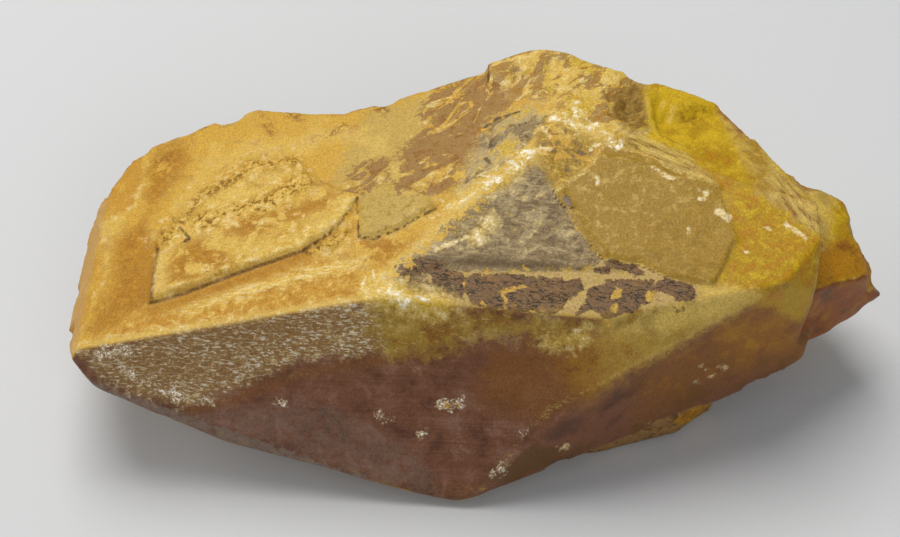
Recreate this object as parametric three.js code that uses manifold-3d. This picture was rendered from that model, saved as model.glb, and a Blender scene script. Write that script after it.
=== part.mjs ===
import * as THREE from 'three';
import { mergeVertices } from 'three/addons/utils/BufferGeometryUtils.js';
import Module from 'manifold-3d';

const wasm = await Module();
wasm.setup();

// A hand-size specimen of raw barite: a broken tabular crystal that lies on its under side.
// Millimetres. +X runs along the crystal, +Y to its back, +Z up, and z = 0 is what it rests on.

// The point inside the crystal that every facet's distance is measured from.
const CENTRE = new THREE.Vector3(0, -2, 22);

// How much further the skin lies from the centre than a flat core does, along X, Y and Z.
const CORE_TO_SKIN = new THREE.Vector3(0.3, 0.6, 1);

// Larger than the crystal, for the blocks that the facets are cut with.
const BLOCK = 300;

// A facet faces a compass angle (0 is +X, 90 is +Y), leans from straight up by a tilt,
// and lies at a distance from the centre: [compass degrees, tilt degrees, millimetres].
const FACETS = {
  // The two roofs and the faces below them, towards the front.
  left_roof: [-176, 12.7, 15.3],
  right_roof: [-83, 13.8, 15],
  front: [-93.6, 70, 19.9],
  right_front: [-67.7, 94.7, 27.5],
  right_apron: [-77.1, 69.9, 24.3],
  under_left: [-103, 97.6, 31.7],
  // The worn left end.
  left_bevel: [180, 60, 53.6],
  left_end: [180, 90, 65],
  left_toe: [-150, 112, 57.7],
  // The broken back.
  back_left_1: [155, 78, 62],
  back_left_2: [132, 75, 56.2],
  back_left_3: [108, 78, 43.4],
  back_left_4: [72, 78, 21],
  back_mid_1: [104, 80, 33.2],
  back_mid_2: [84, 80, 37],
  right_back_1: [68.4, 75, 39.8],
  right_back_2: [30.3, 72, 48.6],
  crown: [-27.3, 7.8, 19.5],
  // The right end.
  right_end_1: [0, 95, 50.9],
  right_end_2: [-32, 98, 47.7],
  gusset: [-45, 62, 41.3],
  // The under side.
  bottom: [0, 180, 22],
  under_right: [-48, 160.8, 25.8],
  under_back: [95, 125, 27.3],
  belly_1: [-154.7, 151.6, 33.8],
  belly_2: [-131.5, 159.9, 27.8],
  // The shoulder and the thin blade past the right end.
  shoulder_top: [-39.3, 30.8, 26.3],
  shoulder_back: [71.1, 72, 29.5],
  shoulder_right: [8.4, 78, 60],
  shoulder_under: [20, 145, 40.9],
  blade_end: [0, 90, 66.7],
  blade_top: [-63.3, 55.7, 21],
  blade_low: [-61.1, 96, 30.3],
  blade_right: [48.4, 80, 43.9],
  blade_back: [60, 75, 34.2],
  blade_under: [-48.5, 150, 28.5],
  blade_root: [180, 90, -44],
  // The toe at the foot of the right end.
  toe_right: [-20, 92, 52],
  toe_top: [-30, 25, 14.5],
  toe_under: [-20, 150, 35.4],
  toe_back: [100, 90, -9.9],
  // The crust under the right part of the front.
  crust_front: [-75.8, 107.4, 27.3],
  crust_side: [-48.2, 99.3, 35.4],
  crust_under: [-60, 165, 27.9],
  crust_left: [-160, 80, -13.1],
  crust_back: [60, 90, 11],
  crust_lid: [-60, 20, -3.7],
};

// The two halves of the crystal share all of these facets.
const SHARED = [
  'left_roof', 'right_roof', 'front', 'right_front', 'right_apron', 'under_left', 'left_bevel', 'left_end',
  'left_toe', 'right_end_1', 'right_end_2', 'gusset', 'bottom', 'under_right', 'under_back', 'belly_1', 'belly_2',
];

// Each body is the space inside all of its facets, and the specimen is all bodies grown together.
const BODIES = {
  left: [...SHARED, 'back_left_1', 'back_left_2', 'back_left_3', 'back_left_4'],
  right: [...SHARED, 'back_mid_1', 'back_mid_2', 'right_back_1', 'right_back_2', 'crown'],
  shoulder: [
    'crown', 'shoulder_top', 'shoulder_back', 'shoulder_right', 'shoulder_under', 'blade_low', 'blade_under',
    'blade_root', 'blade_end',
  ],
  blade: [
    'crown', 'shoulder_top', 'shoulder_under', 'blade_top', 'blade_low', 'blade_right', 'blade_back',
    'blade_under', 'blade_root', 'blade_end',
  ],
  toe: ['right_front', 'toe_right', 'toe_top', 'toe_under', 'toe_back', 'blade_root', 'under_right'],
  crust: ['crust_front', 'crust_side', 'crust_under', 'crust_left', 'crust_back', 'crust_lid', 'bottom'],
};

// Growth plates stand proud of a facet and broken hollows lie under it. Their outlines are drawn in plan,
// as [x, y], or seen from the front, as [x, z].
const RELIEFS = {
  growth_plate: {
    facet: 'left_roof', view: 'plan', rise: 1.2,
    outline: [
      [-50.5, -11.5], [-35, -7.5], [-27, -5.5], [-21.5, -1.5], [-18, 4], [-26.5, 9.5], [-29, 15.5],
      [-37, 16.5], [-38.5, 14.5], [-43.5, 11.5], [-47.5, 5], [-50.5, 0.5],
    ],
  },
  round_lobe: {
    facet: 'left_roof', view: 'plan', rise: 0.8,
    outline: [[-18, -4.5], [-16, -5], [-12, -4], [-6.5, -0.5], [-10.5, 4], [-16, 6.5], [-18.5, 4.5]],
  },
  ridge_block: {
    facet: 'left_roof', view: 'plan', rise: 1.9,
    outline: [[2, 25], [9, 27], [15.5, 27.5], [20, 34], [16, 45], [2, 45]],
  },
  grey_layer: {
    facet: 'right_roof', view: 'plan', rise: 0.4,
    outline: [
      [-12, -14], [-4, -5], [4.5, 4], [10.5, 8], [15, 8.5], [20, -4], [27, -12.5], [18, -12.5], [9, -12],
      [-1.5, -11.5],
    ],
  },
  olive_plate: {
    facet: 'right_roof', view: 'plan', rise: 0.9,
    outline: [
      [11.5, 1], [19.5, 8], [25.5, 7], [31.5, 4.5], [37, 2.5], [38, -2.5], [39, -6.5], [35, -14.5],
      [28, -13.5], [24.5, -11], [18.5, -10.5], [14.5, -4],
    ],
  },
  crown_chip: {
    facet: 'crown', view: 'plan', rise: -1.2,
    outline: [[28.5, 20.5], [33, 19], [45, 24], [41.5, 14], [33.5, 10.5], [29, 13]],
  },
  crown_pit: {
    facet: 'crown', view: 'plan', rise: -0.9,
    outline: [[21, 22.5], [24, 24], [27, 20.5], [25, 14.5], [21, 16.5]],
  },
  crown_pit_floor: {
    facet: 'crown', view: 'plan', rise: -1.8,
    outline: [[22, 20], [25, 21.5], [25.5, 17.5], [23, 16.5]],
  },
  back_plate: {
    facet: 'back_mid_1', view: 'front', rise: 0.9,
    outline: [[-11, 9], [13, 8], [15, 23], [3, 28], [-9, 25]],
  },
  back_hollow: {
    facet: 'back_left_3', view: 'front', rise: -1.1,
    outline: [[-37, 14], [-17, 11], [-21, 23], [-33, 25]],
  },
  right_back_plate: {
    facet: 'right_back_1', view: 'front', rise: 0.8,
    outline: [[21, 11], [37, 13], [35, 30], [24, 34]],
  },
};

// Thin growth layers lie like laths along the crown's ridge, each one further back and lower than the last.
const LATH_COUNT = 3;
const LATH_RISE = 0.4;
const LATH_STEP = [0.6, 1.5];
const LATH_OUTLINE = [[18, 12], [27, 9.4], [38.5, 4.6], [28.5, 11], [18.5, 13.6]];

// Shell-shaped chips are struck out of the worn edges, each at [x, y, z] on an edge.
const CHIP_RADIUS = 3.6;
const CHIP_DEPTH = 0.6;
const CHIPS = [
  // Down the left end.
  [-63.5, -10.5, 19.5], [-64.5, -1, 17.5], [-65, 8.5, 16.5], [-64, 15.5, 18], [-61.5, 15, 24],
  // Along the back.
  [-56, 24.5, 25.5], [-40.5, 29, 29], [-15, 26, 35], [-8.5, 28, 36.5], [26.5, 25.5, 40], [42.5, 15.5, 37.5],
  // On the shoulder and the blade.
  [51.5, 8.5, 33], [60, 3.5, 27], [64, 0.5, 20], [63, -1, 13.5], [57.5, -4, 11],
  // Along the lower edge of the front.
  [47, -11.5, 8.5], [43.5, -12.5, 8], [34, -16.5, 6.5], [13, -25, 4], [-18.5, -28, 3], [-47.5, -22.5, 11],
];

// Crumbly steps: small lumps follow these paths on a facet, given in plan.
const CRUMBS = [
  { facet: 'left_roof', count: 15, path: [[-51, 1], [-46, 8.5], [-41.5, 12.5], [-37, 16]] },
  { facet: 'left_roof', count: 9, path: [[-36, 11], [-30, 13], [-26, 8.5]] },
  { facet: 'left_roof', count: 6, path: [[-26.5, -5.5], [-22.5, -5], [-20, -2]] },
  { facet: 'crown', count: 9, path: [[20, 25], [27, 23.5], [29, 17]] },
];
const CRUMB_SIZES = [1.6, 1, 1.9, 1.2, 0.8, 1.5, 1.1];
const CRUMB_RISE = 0.8;
const CRUMB_WANDER = 0.9;
const CRUMB_SQUEEZE = 0.6;

// Brings the middle of the crystal's box over the origin.
const TO_MIDDLE = [-0.52, -1.97, 0];

function facetNormal(name) {
  const [compass, tilt] = FACETS[name].map(THREE.MathUtils.degToRad);
  return new THREE.Vector3(
    Math.sin(tilt) * Math.cos(compass),
    Math.sin(tilt) * Math.sin(compass),
    Math.cos(tilt),
  );
}

// Turns a closed geometry into a solid that can be joined and cut.
function toSolid(geometry) {
  const bare = geometry.clone();
  bare.deleteAttribute('normal');
  bare.deleteAttribute('uv');
  const merged = mergeVertices(bare);
  return new wasm.Manifold(new wasm.Mesh({
    numProp: 3,
    vertProperties: new Float32Array(merged.attributes.position.array),
    triVerts: new Uint32Array(merged.index.array),
  }));
}

// A block whose near face lies on the facet, raised by the given height. All of it is outside the facet.
function blockOutside(name, rise = 0) {
  const normal = facetNormal(name);
  const turn = new THREE.Quaternion().setFromUnitVectors(new THREE.Vector3(0, 0, 1), normal);
  const distance = FACETS[name][2] + rise;
  const middle = CENTRE.clone().addScaledVector(normal, distance + BLOCK / 2);
  const block = new THREE.BoxGeometry(BLOCK, BLOCK, BLOCK);
  block.applyQuaternion(turn);
  block.translate(middle.x, middle.y, middle.z);
  return toSolid(block);
}

// The space inside a body's facets, with one of them raised where a growth plate is wanted.
function facetedBody(names, raised, rise) {
  const start = new THREE.BoxGeometry(BLOCK / 2, BLOCK / 2, BLOCK / 2);
  return names.reduce(
    (body, name) => body.subtract(blockOutside(name, name === raised ? rise : 0)),
    toSolid(start),
  );
}

function grownTogether(solids) {
  return solids.reduce((sum, solid) => sum.add(solid));
}

// All bodies that have the facet, with it raised.
function bodiesRaised(facet, rise) {
  const sharing = Object.values(BODIES).filter((names) => names.includes(facet));
  return grownTogether(sharing.map((names) => facetedBody(names, facet, rise)));
}

// A straight prism through the whole crystal, over an outline drawn in plan or from the front.
function prism(outline, view) {
  const shape = new THREE.Shape(outline.map(([across, up]) => new THREE.Vector2(across, up)));
  const geometry = new THREE.ExtrudeGeometry(shape, { depth: BLOCK, bevelEnabled: false });
  geometry.translate(0, 0, -BLOCK / 2);
  if (view === 'front') {
    geometry.rotateX(Math.PI / 2);
  }
  return toSolid(geometry);
}

function withRelief(crystal, { facet, view, rise, outline }) {
  const area = prism(outline, view);
  if (rise > 0) {
    return crystal.add(bodiesRaised(facet, rise).intersect(area));
  }
  return crystal.subtract(blockOutside(facet, rise).intersect(area));
}

function crownLath(index) {
  const [right, back] = LATH_STEP;
  const outline = LATH_OUTLINE.map(([x, y]) => [x + index * right, y + index * back]);
  return { facet: 'crown', view: 'plan', rise: LATH_RISE * (LATH_COUNT - index), outline };
}

// The way out of the crystal at a point of its edge, away from a flat core.
function outwards(point) {
  const away = point.clone().sub(CENTRE);
  return away.multiply(CORE_TO_SKIN).normalize();
}

function chip([x, y, z]) {
  const edge = new THREE.Vector3(x, y, z);
  const middle = edge.clone().addScaledVector(outwards(edge), CHIP_RADIUS - CHIP_DEPTH);
  const geometry = new THREE.IcosahedronGeometry(CHIP_RADIUS, 1);
  geometry.translate(middle.x, middle.y, middle.z);
  return toSolid(geometry);
}

// A point of a facet above the place x, y of the plan.
function pointOnFacet(name, x, y) {
  const normal = facetNormal(name);
  const flat = normal.x * (x - CENTRE.x) + normal.y * (y - CENTRE.y);
  return new THREE.Vector3(x, y, CENTRE.z + (FACETS[name][2] - flat) / normal.z);
}

// One squat, angular lump, turned by its own number of radians.
function crumb(top, size, turn) {
  const geometry = new THREE.DodecahedronGeometry(size);
  geometry.rotateX(turn);
  geometry.rotateZ(turn);
  geometry.scale(1, CRUMB_SQUEEZE, CRUMB_SQUEEZE);
  geometry.translate(top.x, top.y, top.z + CRUMB_RISE - size * CRUMB_SQUEEZE);
  return toSolid(geometry);
}

function crumbsAlong({ facet, count, path }) {
  const route = new THREE.CatmullRomCurve3(path.map(([x, y]) => new THREE.Vector3(x, y, 0)));
  const lumps = route.getSpacedPoints(count - 1).map((place, i) => {
    const wander = CRUMB_WANDER * Math.sin(i * CRUMB_SIZES.length);
    const top = pointOnFacet(facet, place.x + wander, place.y - wander);
    return crumb(top, CRUMB_SIZES[i % CRUMB_SIZES.length], i);
  });
  return grownTogether(lumps);
}

function buildCrystal() {
  let crystal = grownTogether(Object.values(BODIES).map((names) => facetedBody(names)));
  Object.values(RELIEFS).forEach((relief) => {
    crystal = withRelief(crystal, relief);
  });
  for (let i = 0; i < LATH_COUNT; i += 1) {
    crystal = withRelief(crystal, crownLath(i));
  }
  CRUMBS.forEach((crumbs) => {
    crystal = crystal.add(crumbsAlong(crumbs));
  });
  CHIPS.forEach((place) => {
    crystal = crystal.subtract(chip(place));
  });
  return crystal;
}

function toGeometry(solid) {
  const { vertProperties, triVerts } = solid.getMesh();
  const geometry = new THREE.BufferGeometry();
  geometry.setAttribute('position', new THREE.BufferAttribute(new Float32Array(vertProperties), 3));
  geometry.setIndex(new THREE.BufferAttribute(new Uint32Array(triVerts), 1));
  geometry.computeVertexNormals();
  return geometry;
}

const barite = new THREE.MeshStandardMaterial({ color: 0xb98d45, roughness: 0.45, metalness: 0 });

const crystal = new THREE.Mesh(toGeometry(buildCrystal()), barite);
crystal.name = 'barite_crystal';
crystal.position.set(...TO_MIDDLE);

const specimen = new THREE.Group();
specimen.add(crystal);

export default specimen;
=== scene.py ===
import itertools
import math

import bpy
import numpy as np
from bpy.props import FloatProperty, FloatVectorProperty, IntProperty, PointerProperty
from bpy.types import Operator, Panel, PropertyGroup
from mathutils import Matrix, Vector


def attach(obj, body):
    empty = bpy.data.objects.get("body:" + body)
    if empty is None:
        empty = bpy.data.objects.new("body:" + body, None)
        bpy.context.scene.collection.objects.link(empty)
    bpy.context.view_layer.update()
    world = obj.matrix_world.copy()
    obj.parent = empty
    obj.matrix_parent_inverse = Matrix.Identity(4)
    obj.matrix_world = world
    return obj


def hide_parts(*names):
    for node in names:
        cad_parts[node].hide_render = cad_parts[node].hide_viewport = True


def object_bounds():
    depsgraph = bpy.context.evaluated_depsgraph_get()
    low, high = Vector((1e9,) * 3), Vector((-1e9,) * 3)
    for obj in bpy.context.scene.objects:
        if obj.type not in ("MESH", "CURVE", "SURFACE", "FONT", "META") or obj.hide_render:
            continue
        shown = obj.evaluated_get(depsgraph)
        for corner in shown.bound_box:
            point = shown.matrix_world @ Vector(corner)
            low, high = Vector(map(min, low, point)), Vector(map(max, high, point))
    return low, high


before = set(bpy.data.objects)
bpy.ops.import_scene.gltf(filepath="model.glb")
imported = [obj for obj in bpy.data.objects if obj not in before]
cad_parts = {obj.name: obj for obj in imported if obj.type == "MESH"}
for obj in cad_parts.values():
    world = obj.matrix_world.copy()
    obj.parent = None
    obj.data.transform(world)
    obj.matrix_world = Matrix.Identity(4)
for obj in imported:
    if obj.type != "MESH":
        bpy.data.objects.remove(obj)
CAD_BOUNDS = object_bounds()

bl_info = {
    "name": "Raw barite crystal",
    "version": (1, 0, 0),
    "blender": (4, 5, 0),
    "location": "3D View > Sidebar > Barite",
    "description": "Dresses a broken, hand-size barite crystal and sets it on a plain studio stage",
    "category": "Add Mesh",
}

# Shape. Millimetres, in the crystal's own frame, and the shift that brings its box over the origin.
CENTRE = np.array([0.0, -2.0, 22.0])
TO_MIDDLE = np.array([-0.52, -1.97, 0.0])
MM = 0.001

# A facet faces a compass angle (0 is +X, 90 is +Y), leans from straight up by a tilt,
# and lies at a distance from the centre: (compass degrees, tilt degrees, millimetres).
FACETS = {
    "left_roof": (-176, 12.7, 15.3),
    "right_roof": (-83, 13.8, 15),
    "front": (-93.6, 70, 19.9),
    "right_front": (-67.7, 94.7, 27.5),
    "right_apron": (-77.1, 69.9, 24.3),
    "under_left": (-103, 97.6, 31.7),
    "left_bevel": (180, 60, 53.6),
    "left_end": (180, 90, 65),
    "left_toe": (-150, 112, 57.7),
    "back_left_1": (155, 78, 62),
    "back_left_2": (132, 75, 56.2),
    "back_left_3": (108, 78, 43.4),
    "back_left_4": (72, 78, 21),
    "back_mid_1": (104, 80, 33.2),
    "back_mid_2": (84, 80, 37),
    "right_back_1": (68.4, 75, 39.8),
    "right_back_2": (30.3, 72, 48.6),
    "crown": (-27.3, 7.8, 19.5),
    "right_end_1": (0, 95, 50.9),
    "right_end_2": (-32, 98, 47.7),
    "gusset": (-45, 62, 41.3),
    "bottom": (0, 180, 22),
    "under_right": (-48, 160.8, 25.8),
    "under_back": (95, 125, 27.3),
    "belly_1": (-154.7, 151.6, 33.8),
    "belly_2": (-131.5, 159.9, 27.8),
    "shoulder_top": (-39.3, 30.8, 26.3),
    "shoulder_back": (71.1, 72, 29.5),
    "shoulder_right": (8.4, 78, 60),
    "shoulder_under": (20, 145, 40.9),
    "blade_end": (0, 90, 66.7),
    "blade_top": (-63.3, 55.7, 21),
    "blade_low": (-61.1, 96, 30.3),
    "blade_right": (48.4, 80, 43.9),
    "blade_back": (60, 75, 34.2),
    "blade_under": (-48.5, 150, 28.5),
    "blade_root": (180, 90, -44),
    "toe_right": (-20, 92, 52),
    "toe_top": (-30, 25, 14.5),
    "toe_under": (-20, 150, 35.4),
    "toe_back": (100, 90, -9.9),
    "crust_front": (-75.8, 107.4, 27.3),
    "crust_side": (-48.2, 99.3, 35.4),
    "crust_under": (-60, 165, 27.9),
    "crust_left": (-160, 80, -13.1),
    "crust_back": (60, 90, 11),
    "crust_lid": (-60, 20, -3.7),
}
NAMES = list(FACETS)

SHARED = (
    "left_roof right_roof front right_front right_apron under_left left_bevel left_end left_toe "
    "right_end_1 right_end_2 gusset bottom under_right under_back belly_1 belly_2"
).split()

# Each body is the space inside all of its facets, and the crystal is all bodies grown together.
BODIES = {
    "left": SHARED + "back_left_1 back_left_2 back_left_3 back_left_4".split(),
    "right": SHARED + "back_mid_1 back_mid_2 right_back_1 right_back_2 crown".split(),
    "shoulder": (
        "crown shoulder_top shoulder_back shoulder_right shoulder_under blade_low blade_under "
        "blade_root blade_end"
    ).split(),
    "blade": (
        "crown shoulder_top shoulder_under blade_top blade_low blade_right blade_back "
        "blade_under blade_root blade_end"
    ).split(),
    "toe": "right_front toe_right toe_top toe_under toe_back blade_root under_right".split(),
    "crust": "crust_front crust_side crust_under crust_left crust_back crust_lid bottom".split(),
}

# Groups of facets that share a coat of colour or a grain, or that carry a zone.
GROUPS = {
    "left roof": "left_roof left_bevel left_end".split(),
    "right roof": ["right_roof"],
    "roofs": "left_roof left_bevel right_roof crown shoulder_top".split(),
    "top": "left_roof left_bevel right_roof right_apron crown shoulder_top".split(),
    "east": (
        "right_roof right_apron gusset right_end_1 right_end_2 crown shoulder_top shoulder_back "
        "shoulder_right shoulder_under blade_top blade_right blade_back blade_end"
    ).split(),
    "right side": "right_roof right_apron gusset right_end_1 right_end_2".split(),
    "crown": "crown shoulder_top".split(),
    "dark side": (
        "front under_left left_toe right_front toe_right toe_top toe_under toe_back blade_low "
        "blade_under crust_front crust_side crust_under crust_left crust_back crust_lid"
    ).split(),
    "front": "front under_left left_toe".split(),
    "front face": ["front"],
    "under left": "under_left left_toe".split(),
    "right front": "right_front toe_right toe_top toe_under toe_back".split(),
    "brow": "front right_apron right_front right_roof".split(),
    "lit": "left_roof left_bevel right_roof right_apron crown shoulder_top front".split(),
    "gusset": "gusset right_end_1 right_end_2".split(),
    "corner": "gusset right_end_1 right_end_2 right_front right_apron".split(),
    "shoulder": "shoulder_top shoulder_back shoulder_right shoulder_under".split(),
    "blade": "blade_top blade_right blade_back blade_end".split(),
    "far end": "shoulder_top shoulder_right blade_top blade_right blade_end".split(),
    "blade low": "blade_low blade_under".split(),
    "crust": "crust_front crust_side crust_under crust_left crust_back crust_lid".split(),
    "back": (
        "back_left_1 back_left_2 back_left_3 back_left_4 back_mid_1 back_mid_2 right_back_1 "
        "right_back_2 shoulder_back blade_back"
    ).split(),
    "under": "bottom under_right under_back belly_1 belly_2 blade_under crust_under".split(),
}

# Growth plates stand proud of a facet and broken hollows lie under it: (facet, view, height in mm,
# half width of the riser in mm, outline). An outline is drawn in plan, as (x, y), or seen from the
# front, as (x, z).
RELIEFS = [
    ("left_roof", "plan", 1.2, 0.6, [
        (-50.5, -11.5), (-35, -7.5), (-27, -5.5), (-21.5, -1.5), (-18, 4), (-26.5, 9.5), (-29, 15.5),
        (-37, 16.5), (-38.5, 14.5), (-43.5, 11.5), (-47.5, 5), (-50.5, 0.5),
    ]),
    ("left_roof", "plan", 0.8, 0.35, [
        (-18, -4.5), (-16, -5), (-12, -4), (-6.5, -0.5), (-10.5, 4), (-16, 6.5), (-18.5, 4.5),
    ]),
    ("left_roof", "plan", 1.9, 0.5, [(2, 25), (9, 27), (15.5, 27.5), (20, 34), (16, 45), (2, 45)]),
    ("right_roof", "plan", 0.4, 0.3, [
        (-12, -14), (-4, -5), (4.5, 4), (10.5, 8), (13, 4), (14.5, -3), (18, -9), (22, -12.5),
        (9, -12), (-1.5, -11.5),
    ]),
    ("right_roof", "plan", 0.6, 0.3, [
        (11.5, 1), (19.5, 8), (25.5, 7), (31.5, 4.5), (37, 2.5), (38, -2.5), (39, -6.5), (35, -14.5),
        (28, -13.5), (24.5, -11), (18.5, -10.5), (14.5, -4),
    ]),
    ("crown", "plan", -1.2, 0.5, [(28.5, 20.5), (33, 19), (45, 24), (41.5, 14), (33.5, 10.5), (29, 13)]),
    ("crown", "plan", -0.9, 0.5, [(21, 22.5), (24, 24), (27, 20.5), (25, 14.5), (21, 16.5)]),
    ("crown", "plan", -0.9, 0.4, [(22, 20), (25, 21.5), (25.5, 17.5), (23, 16.5)]),
    ("back_mid_1", "front", 0.9, 0.5, [(-11, 9), (13, 8), (15, 23), (3, 28), (-9, 25)]),
    ("back_left_3", "front", -1.1, 0.6, [(-37, 14), (-17, 11), (-21, 23), (-33, 25)]),
    ("right_back_1", "front", 0.8, 0.5, [(21, 11), (37, 13), (35, 30), (24, 34)]),
]

# Thin growth layers lie like laths along the crown's ridge, each further back and lower than the last.
LATH_COUNT = 3
LATH_RISE = 0.4
LATH_STEP = (0.6, 1.5)
LATH_HALF = 0.3
LATH_OUTLINE = [(18, 12), (27, 9.4), (38.5, 4.6), (28.5, 11), (18.5, 13.6)]

# Shell-shaped chips are struck out of the worn edges.
CHIPS = [
    (-63.5, -10.5, 19.5), (-64.5, -1, 17.5), (-65, 8.5, 16.5), (-64, 15.5, 18), (-61.5, 15, 24),
    (-56, 24.5, 25.5), (-40.5, 29, 29), (-15, 26, 35), (-8.5, 28, 36.5), (26.5, 25.5, 40),
    (42.5, 15.5, 37.5), (51.5, 8.5, 33), (60, 3.5, 27), (64, 0.5, 20), (63, -1, 13.5), (57.5, -4, 11),
    (47, -11.5, 8.5), (43.5, -12.5, 8), (34, -16.5, 6.5), (13, -25, 4), (-18.5, -28, 3),
    (-47.5, -22.5, 11),
]

# A chip is the bite of a ball whose middle lies out from the edge, along the way from the centre
# with its X, Y and Z scaled by these.
CHIP_AIM = (0.3, 0.6, 1.0)

# Crumbly steps: small lumps follow these paths on a facet, given in plan. A lump stands out by its
# swells about a middle height, cut to a lowest and a highest, less the depth that it sinks in. The
# lumps fade between two distances from the path.
CRUMBS = [
    ("left_roof", [(-51, 1), (-46, 8.5), (-41.5, 12.5), (-37, 16)]),
    ("left_roof", [(-36, 11), (-30, 13), (-26, 8.5)]),
    ("left_roof", [(-26.5, -5.5), (-22.5, -5), (-20, -2)]),
    ("crown", [(20, 25), (27, 23.5), (29, 17)]),
]
CRUMB_SWELLS = [(1, 1.3), (0.4, 0.7)]
CRUMB_MIDDLE = 0.5
CRUMB_HEIGHTS = (0, 1.2)
CRUMB_SINK = 0.35
CRUMB_FADE = (2.4, 0.8)

# How far from a plate and from a crumbly step their heights are worked out, in mm.
PLATE_REACH = 2
CRUMB_REACH = 4

# How rough the facets are: (height in mm, size in mm) of each swell.
GRAIN = {
    "back": [(0.5, 7), (0.18, 2)],
    "under": [(0.35, 8), (0.12, 2.5)],
    "crown": [(0.3, 4.5), (0.1, 1.5)],
    "crust": [(0.4, 5), (0.15, 1.6)],
    "gusset": [(0.3, 4)],
    "shoulder": [(0.35, 4)],
    "blade": [(0.3, 5)],
    "blade low": [(0.3, 4)],
}
SMOOTH_GRAIN = [(0.07, 6), (0.04, 1.6)]

# Size in mm of the wander of a plate's edges.
WANDER_SIZE = 2.2

# The first seed of each kind of noise. A noise of several parts takes the seeds that follow.
SMOOTH_SEED = 11
WANDER_SEED = 31
CRUMB_SEED = 41
GRAIN_SEED = 100
GRAIN_SEED_STEP = 10

# Noise: how many random values it has, a shift that keeps its cells positive, and the primes that
# mix a cell's three numbers into one.
NOISE_VALUES = 4096
NOISE_SHIFT = 512
NOISE_PRIMES = (73856093, 19349663, 83492791)

# A box of these half sides, in mm, is wrapped over the crystal. Each of its points is reached along
# a ray that covers this share of its way from the centre, from a flat core that covers the rest.
HALF_BOX = (65.0, 33.0, 21.5)
RAY_SHARE = (0.36, 0.66, 1.0)

# How often the skin is set to its heights again, and how far it moves each time after the first.
ROUNDS = 6
ROUND_SHARE = 0.5

# The camera, in the crystal's own frame, in millimetres and degrees.
PICTURE = (900, 537)
LENS_ANGLE = 30
CAMERA_TILT = 45
MM_PER_PX = 0.159
AIM_PX = (477, 278.5)
SENSOR = 36

# The stage, in metres: each soft light's place, side and tint, the point that the lights face, and
# the light from all around.
LIGHTS = {
    "overhead": ((-0.15, 0.25, 0.75), 0.5, (1, 0.98, 0.95)),
    "left": ((-0.7, 0.1, 0.35), 0.4, (1, 0.97, 0.92)),
    "front": ((0.3, -0.8, 0.5), 0.5, (0.95, 0.97, 1)),
}
LIT_POINT = (0, 0, 0.02)
AMBIENT_TINT = (0.9, 0.95, 1)
FLOOR_ROUGHNESS = 0.8

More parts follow.
